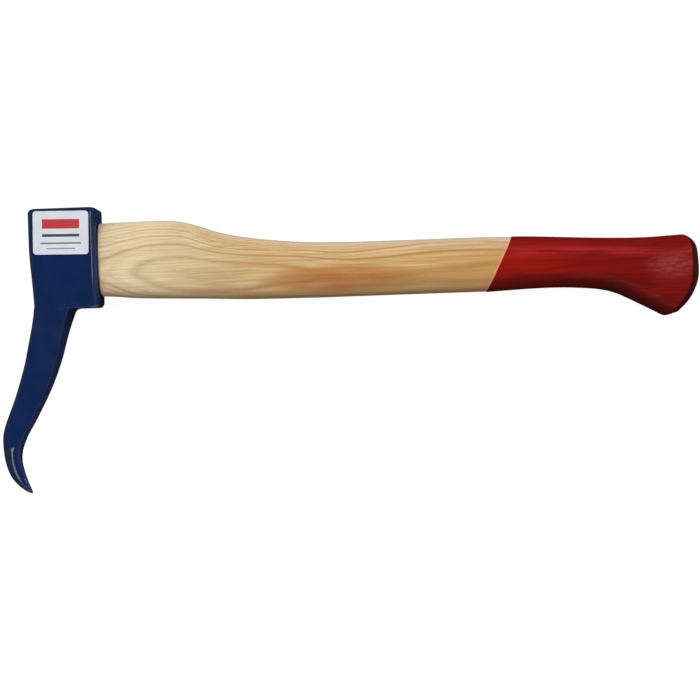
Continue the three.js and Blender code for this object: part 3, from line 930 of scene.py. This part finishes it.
# Ash: its colour at the head, then each change along the handle as (start, end, colour).
ASH_AT_HEAD = (228, 213, 178)
ASH_ALONG = [(40, 110, (215, 194, 149)), (85, 165, (215, 182, 129)), (190, 265, (202, 156, 97))]
# Painted sheen: the handle's back is paled from the swell on.
ASH_BACK_SHEEN = (222, 197, 160)
# Painted shade towards the belly.
ASH_BELLY_SHADE = (202, 160, 110)
ASH_HEART = (168, 78, 14)
ASH_OTHER_RING = (196, 158, 106)
ASH_RING = (166, 112, 50)
ASH_PORE = (126, 86, 48)
ASH_FIBRE = (176, 132, 78)
ASH_DIP_FRINGE = (228, 146, 122)
# Painted sheen on faces turned to the back.
ASH_BACK_EDGE_SHEEN = (222, 212, 192)
ASH_SHOULDER = (238, 214, 198)
HEART_SPOT = (165, -16.8, 48, 8.6)
HEART_FADE = (1.35, 0.1)
STAIN_SIZE = (26, 3, 6)
BACK_SHEEN_FADE, BACK_SHEEN_START = (-8, 4), (90, 160)
BELLY_SHADE_FADE = (-14, -26)
FRINGE_FADE = (1.7, 0.8)
SHOULDER_END = (10, 18)
RING_STRENGTHENS = (50, 130, 0.52, 0.92)
FIBRE_STRENGTHENS = (30, 130, 0.32, 0.6)
FIBRE_FADE = (0.34, 0.66)
ASH_ROUGHNESS = (0.4, 0.5)
ASH_SPECULAR = 0.3
ASH_RELIEF = 0.03
FIBRE_HEIGHT = 0.4


def ash_wood():
    material, tree, shader, place = new_material("varnished ash")
    figure = use_group(tree, ASH_FIGURE, {"Place": place})
    x, y, _ = xyz(tree, place)
    facing_x, facing_y, _ = facing(tree)
    base = linear(*ASH_AT_HEAD)
    for start, end, colour in ASH_ALONG:
        base = blend(tree, between(tree, x, start, end), base, linear(*colour))
    # Painted sheen along the handle's back, growing from the swell on.
    back_sheen = product(tree, between(tree, y, *BACK_SHEEN_FADE), between(tree, x, *BACK_SHEEN_START))
    stain = between(tree, stretched_noise(tree, place, STAIN_SIZE, 3.0), 0.28, 0.62, 0.55, 1.0)
    heart = product(tree, between(tree, off_spot(tree, x, y, HEART_SPOT), *HEART_FADE), stain)
    fibre = between(tree, figure["Fibre"], *FIBRE_FADE)
    dip_line = calc(tree, "MULTIPLY_ADD", calc(tree, "SUBTRACT", y, GRIP_CENTRE_Y), math.tan(DIP_LEAN),
                    KNOB_END_X - LACQUER_LENGTH)
    fringe = between(tree, calc(tree, "SUBTRACT", dip_line, x), *FRINGE_FADE)
    shoulder = product(tree, between(tree, facing_x, -0.2, -0.7), between(tree, x, *SHOULDER_END))
    base = tinted(tree, base, [
        # Painted sheen on the back.
        (back_sheen, 0.8, ASH_BACK_SHEEN),
        # Painted shade towards the belly.
        (between(tree, y, *BELLY_SHADE_FADE), 0.5, ASH_BELLY_SHADE),
        (heart, 0.86, ASH_HEART),
        (figure["Ring tone"], 0.22, ASH_OTHER_RING),
        (figure["Ring line"], between(tree, x, *RING_STRENGTHENS), ASH_RING),
        (figure["Pores"], 0.5, ASH_PORE),
        (fibre, between(tree, x, *FIBRE_STRENGTHENS), ASH_FIBRE),
        (fringe, 0.85, ASH_DIP_FRINGE),
        # Painted sheen on faces turned to the back.
        (between(tree, facing_y, 0.5, 0.95), 0.5, ASH_BACK_EDGE_SHEEN),
        (shoulder, 0.8, ASH_SHOULDER),
    ])
    height = calc(tree, "SUBTRACT", product(tree, figure["Fibre"], FIBRE_HEIGHT), figure["Pores"])
    feed(tree, shader, {
        "Base Color": base,
        "Roughness": between(tree, figure["Fibre"], 0.3, 0.7, *ASH_ROUGHNESS),
        "Specular IOR Level": ASH_SPECULAR,
        "Normal": relief(tree, height, ASH_RELIEF),
    })
    return material


# Lacquer: its colour from the dip line to the knob, and its tints.
REDS = linear(149, 24, 18), linear(114, 19, 14)
# Painted sheen in a band near the back.
RED_SHEEN_BAND = (162, 42, 41)
# Painted shade along the back.
RED_BACK_SHADE = (108, 15, 13)
# Darker low on the knob's flare: painted shade, with thicker lacquer there.
RED_LOW_SHADE = (80, 12, 10)
RED_POOLED = (108, 14, 10)
# Painted shade in the hollow where the knob flares.
RED_HOLLOW_SHADE = (76, 14, 10)
RED_RING = (100, 12, 12)
RED_FIBRE = (150, 32, 27)
# Painted reflection: a pale streaky patch on the knob.
RED_REFLECTION = (150, 64, 58)
# Faces turned down: painted shade, with lacquer pooled thicker there.
RED_BELLY_SHADE = (72, 15, 12)
# The domed end: darker as end grain that drinks the lacquer, and as painted shade.
RED_END_GRAIN_AND_SHADE = (50, 12, 15)
DARKENING = (258, 345)
SHEEN_BAND_FADES = (-9, -5.5), (-1, -4.5)
BAND_DROP = (300, 370, 0.0, 3.0)
RED_BACK_SHADE_FADE, RED_LOW_SHADE_FADE = (-3.5, 3.5), (-26, -42)
RED_BELLY_FADE = (-0.16, -0.6)
HOLLOW_SHADE_SPOT = (331, -28, 19, 9)
HOLLOW_SHADE_FADE = (1.4, 0.0)
REFLECTION_SPOT = (362, -16, 19, 8.5)
REFLECTION_FADE = (1.2, 0.0)
POOL_SIZE = (26, 3, 12)
REFLECTION_STREAK_SIZE = (5, 1.5, 1.5)
RED_UNEVENNESS = (1.4, 20.0, 4.0)
RED_ROUGHNESS = (0.3, 0.38)
BELLY_ROUGHER = 0.4
RED_SPECULAR = 0.06
RED_RELIEF = 0.012
RED_FIBRE_HEIGHT = 0.6


def red_lacquer():
    """Clear red over the wood: the figure shows faintly, and the domed end is darker, partly as end grain
    that drinks it and partly as painted shade. Painted sheen, reflection and shade are laid on as tints.
    """
    material, tree, shader, place = new_material("red dip lacquer")
    figure = use_group(tree, ASH_FIGURE, {"Place": place})
    rough = unevenness(tree, place, *RED_UNEVENNESS)
    x, y, _ = xyz(tree, place)
    facing_x, facing_y, _ = facing(tree)
    raised = calc(tree, "ADD", y, between(tree, x, *BAND_DROP))
    # Painted sheen: a lighter band near the back, lower towards the knob.
    band = product(tree, *[between(tree, raised, *fade) for fade in SHEEN_BAND_FADES])
    pooled = between(tree, stretched_noise(tree, place, POOL_SIZE), 0.45, 0.65)
    # Painted reflection: a pale patch on the knob, broken into streaks by noise.
    reflection_streaks = between(tree, stretched_noise(tree, place, REFLECTION_STREAK_SIZE, 3.0, 0.6), 0.36, 0.62, 0.3, 1.0)
    painted_reflection = product(tree, between(tree, off_spot(tree, x, y, REFLECTION_SPOT), *REFLECTION_FADE), reflection_streaks)
    # Faces turned down: painted shade, with lacquer pooled thicker there; they are also rougher.
    belly = between(tree, facing_y, *RED_BELLY_FADE)
    base = tinted(tree, blend(tree, between(tree, x, *DARKENING), *REDS), [
        # Painted sheen band.
        (band, 0.75, RED_SHEEN_BAND),
        # Painted shade along the back.
        (between(tree, raised, *RED_BACK_SHADE_FADE), 0.85, RED_BACK_SHADE),
        # Low on the flare: painted shade, with thicker lacquer.
        (between(tree, y, *RED_LOW_SHADE_FADE), 0.85, RED_LOW_SHADE),
        (pooled, 0.6, RED_POOLED),
        # Painted shade in the flare's hollow.
        (between(tree, off_spot(tree, x, y, HOLLOW_SHADE_SPOT), *HOLLOW_SHADE_FADE), 0.6, RED_HOLLOW_SHADE),
        (figure["Ring line"], 0.5, RED_RING),
        (between(tree, figure["Fibre"], 0.4, 0.7), 0.3, RED_FIBRE),
        # Painted reflection on the knob.
        (painted_reflection, 0.62, RED_REFLECTION),
        # Painted shade, with pooled lacquer, on faces turned down.
        (belly, 0.72, RED_BELLY_SHADE),
        # Domed end: end grain and painted shade.
        (between(tree, facing_x, 0.3, 0.45), 0.88, RED_END_GRAIN_AND_SHADE),
    ])
    gloss = between(tree, rough["Mask"], 0, 1, *RED_ROUGHNESS)
    height = calc(tree, "MULTIPLY_ADD", figure["Fibre"], RED_FIBRE_HEIGHT, rough["Height"])
    feed(tree, shader, {
        "Base Color": base,
        "Roughness": calc(tree, "MULTIPLY_ADD", belly, BELLY_ROUGHER, gloss),
        "Specular IOR Level": RED_SPECULAR,
        "Normal": relief(tree, height, RED_RELIEF),
    })
    return material


WEDGE_WOODS = linear(168, 120, 76), linear(120, 78, 44)
WEDGE_PORE = (74, 46, 26)
WEDGE_ROUGHNESS, WEDGE_RELIEF = 0.7, 0.1


def wedge_wood():
    material, tree, shader, place = new_material("sawn wedge wood")
    figure = use_group(tree, ASH_FIGURE, {"Place": place})
    base = blend(tree, figure["Fibre"], *WEDGE_WOODS)
    feed(tree, shader, {
        "Base Color": tinted(tree, base, [(figure["Pores"], 0.8, WEDGE_PORE)]),
        "Roughness": WEDGE_ROUGHNESS,
        "Normal": relief(tree, figure["Fibre"], WEDGE_RELIEF),
    })
    return material


STEELS = linear(196, 196, 200), linear(160, 157, 152)
STEEL_UNEVENNESS = (0.4, 3.0, 1.0)
STEEL_ROUGHNESS = (0.4, 0.55)
STEEL_METALLIC, STEEL_RELIEF = 0.6, 0.02


def bare_steel():
    material, tree, shader, place = new_material("tarnished steel")
    rough = unevenness(tree, place, *STEEL_UNEVENNESS)
    feed(tree, shader, {
        "Base Color": blend(tree, rough["Mask"], *STEELS),
        "Roughness": between(tree, rough["Mask"], 0, 1, *STEEL_ROUGHNESS),
        "Metallic": STEEL_METALLIC,
        "Normal": relief(tree, rough["Height"], STEEL_RELIEF),
    })
    return material


FOILS = linear(210, 213, 221), linear(215, 218, 225)
FOIL_UNEVENNESS = (0.6, 9.0, 3.0)
FOIL_ROUGHNESS = (0.3, 0.36)
FOIL_RELIEF = 0.003
PRINT_SOFTNESS = 0.1


def label_foil():
    """Pale foil with a plain print: one red band over three dark rules."""
    material, tree, shader, place = new_material("printed foil")
    rough = unevenness(tree, place, *FOIL_UNEVENNESS)
    flat = put(tree, "ShaderNodeMapping", {
        "Vector": place,
        "Location": (LABEL_CENTRE_X, LABEL_CENTRE_Y, 0),
        "Rotation": (0, 0, LABEL_TILT),
    }, vector_type="TEXTURE").outputs[0]
    x, y, _ = xyz(tree, flat)

    def inside(value, size):
        off = calc(tree, "ABSOLUTE", value)
        return between(tree, off, size / 2 + PRINT_SOFTNESS, size / 2 - PRINT_SOFTNESS)

    colour = blend(tree, rough["Mask"], *FOILS)
    for middle, width, height, ink in LABEL_PRINT:
        bar = product(tree, inside(x, width), inside(calc(tree, "SUBTRACT", y, middle), height))
        colour = blend(tree, bar, colour, linear(*ink))
    feed(tree, shader, {
        "Base Color": colour,
        "Roughness": between(tree, rough["Mask"], 0, 1, *FOIL_ROUGHNESS),
        "Normal": relief(tree, rough["Height"], FOIL_RELIEF),
    })
    return material


FLOOR_SHADE, FLOOR_SHADE_MIRRORED = (0.13, 0.13, 0.13, 1), (0.06, 0.06, 0.06, 1)
FLOOR_GLOW = 0.95


def floor_white():
    """White for the camera, with the object's own shadow kept, and dull in reflections."""
    material = bpy.data.materials.new("pale floor")
    material.use_nodes = True
    tree = material.node_tree
    tree.nodes.clear()
    rays = put(tree, "ShaderNodeLightPath").outputs
    seen = calc(tree, "MAXIMUM", rays["Is Camera Ray"], rays["Is Transmission Ray"])
    shade = blend(tree, rays["Is Glossy Ray"], FLOOR_SHADE, FLOOR_SHADE_MIRRORED)
    cloth = put(tree, "ShaderNodeBsdfDiffuse", {"Color": shade}).outputs[0]
    glow = put(tree, "ShaderNodeEmission", {
        "Color": (1, 1, 1, 1), "Strength": product(tree, seen, FLOOR_GLOW)}).outputs[0]
    both = put(tree, "ShaderNodeAddShader", {0: cloth, 1: glow}).outputs[0]
    below = put(tree, "ShaderNodeNewGeometry").outputs["Backfacing"]
    clear = put(tree, "ShaderNodeBsdfTransparent").outputs[0]
    open_below = put(tree, "ShaderNodeMixShader", {0: below, 1: both, 2: clear}).outputs[0]
    put(tree, "ShaderNodeOutputMaterial", {"Surface": open_below})
    return material


# Camera, lights and floor

# World light: (height from the horizon, strength), and how it changes from the left to the right.
WORLD_LIGHT = [(0, 0.35), (0.3, 0.33), (0.6, 0.28), (0.8, 0.14), (0.92, 0.04), (1, 0.03)]
WORLD_SIDES = (0.2, 0.8, 0.75, 1.15)
FLOOR_SIZE = 6
FLOOR_DROP = 0.2


def make_camera():
    data = bpy.data.cameras.new("camera")
    data.angle = FIELD_OF_VIEW
    camera = bpy.data.objects.new("camera", data)
    camera.location = CAMERA_PLACE
    camera.rotation_euler = (0, 0, CAMERA_TURN)
    bpy.context.scene.collection.objects.link(camera)
    bpy.context.scene.camera = camera


def sun(name, azimuth, tilt, strength, width, mirrored=True):
    """Soft lamp from an azimuth (0 from -Y, 90 from +X) and a tilt from straight above, in degrees."""
    data = bpy.data.lights.new(name, "SUN")
    data.energy = strength
    data.angle = math.radians(width)
    lamp = bpy.data.objects.new(name, data)
    lamp.rotation_euler = (math.radians(tilt), 0, math.radians(azimuth))
    lamp.visible_glossy = mirrored
    bpy.context.scene.collection.objects.link(lamp)


def make_world():
    """Soft room: pale near the horizon, dim straight above. The camera sees it plain white."""
    world = bpy.data.worlds.new("soft room")
    bpy.context.scene.world = world
    world.use_nodes = True
    tree = world.node_tree
    tree.nodes.clear()
    place = put(tree, "ShaderNodeTexCoord").outputs["Generated"]
    x, _, z = xyz(tree, place)
    light = product(tree, curve(tree, z, WORLD_LIGHT), between(tree, x, *WORLD_SIDES))
    seen = put(tree, "ShaderNodeLightPath").outputs["Is Camera Ray"]
    strength = calc(tree, "MAXIMUM", light, seen)
    glow = put(tree, "ShaderNodeBackground", {"Color": (1, 1, 1, 1), "Strength": strength}).outputs[0]
    put(tree, "ShaderNodeOutputWorld", {"Surface": glow})


def make_floor():
    bm = bmesh.new()
    bmesh.ops.create_grid(bm, x_segments=1, y_segments=1, size=FLOOR_SIZE)
    bmesh.ops.translate(bm, vec=(0, 0, -FLOOR_DROP * MM), verts=bm.verts)
    floor = plain_object("floor", bm)
    floor.data.materials.append(floor_white())


make_camera()
make_world()
make_floor()
sun("right lamp", azimuth=120, tilt=54, strength=1.8, width=36, mirrored=False)
sun("left lamp", azimuth=-120, tilt=54, strength=2.2, width=44, mirrored=False)
sun("small lamp in front", azimuth=-19, tilt=28, strength=0.24, width=14)
sun("small lamp at the right", azimuth=100, tilt=30, strength=0.12, width=8)
sun("low lamp in front", azimuth=-16, tilt=60, strength=0.3, width=16)

set_piece("painted_head", head_mesh(), "head", blue_paint())
set_piece("ash_handle", handle_mesh(), "handle", ash_wood())
set_piece("dip_lacquer", lacquer_mesh(), "grip_lacquer", red_lacquer())
set_piece("wooden_wedge", wedge_mesh(), "handle_wedge", wedge_wood())
set_piece("steel_ring_wedge", ring_wedge_mesh(0, RING_PROUD), "ring_wedge", bare_steel())
set_piece("foil_label", label_mesh(), "label", label_foil())

bpy.context.scene.view_settings.view_transform = "Standard"
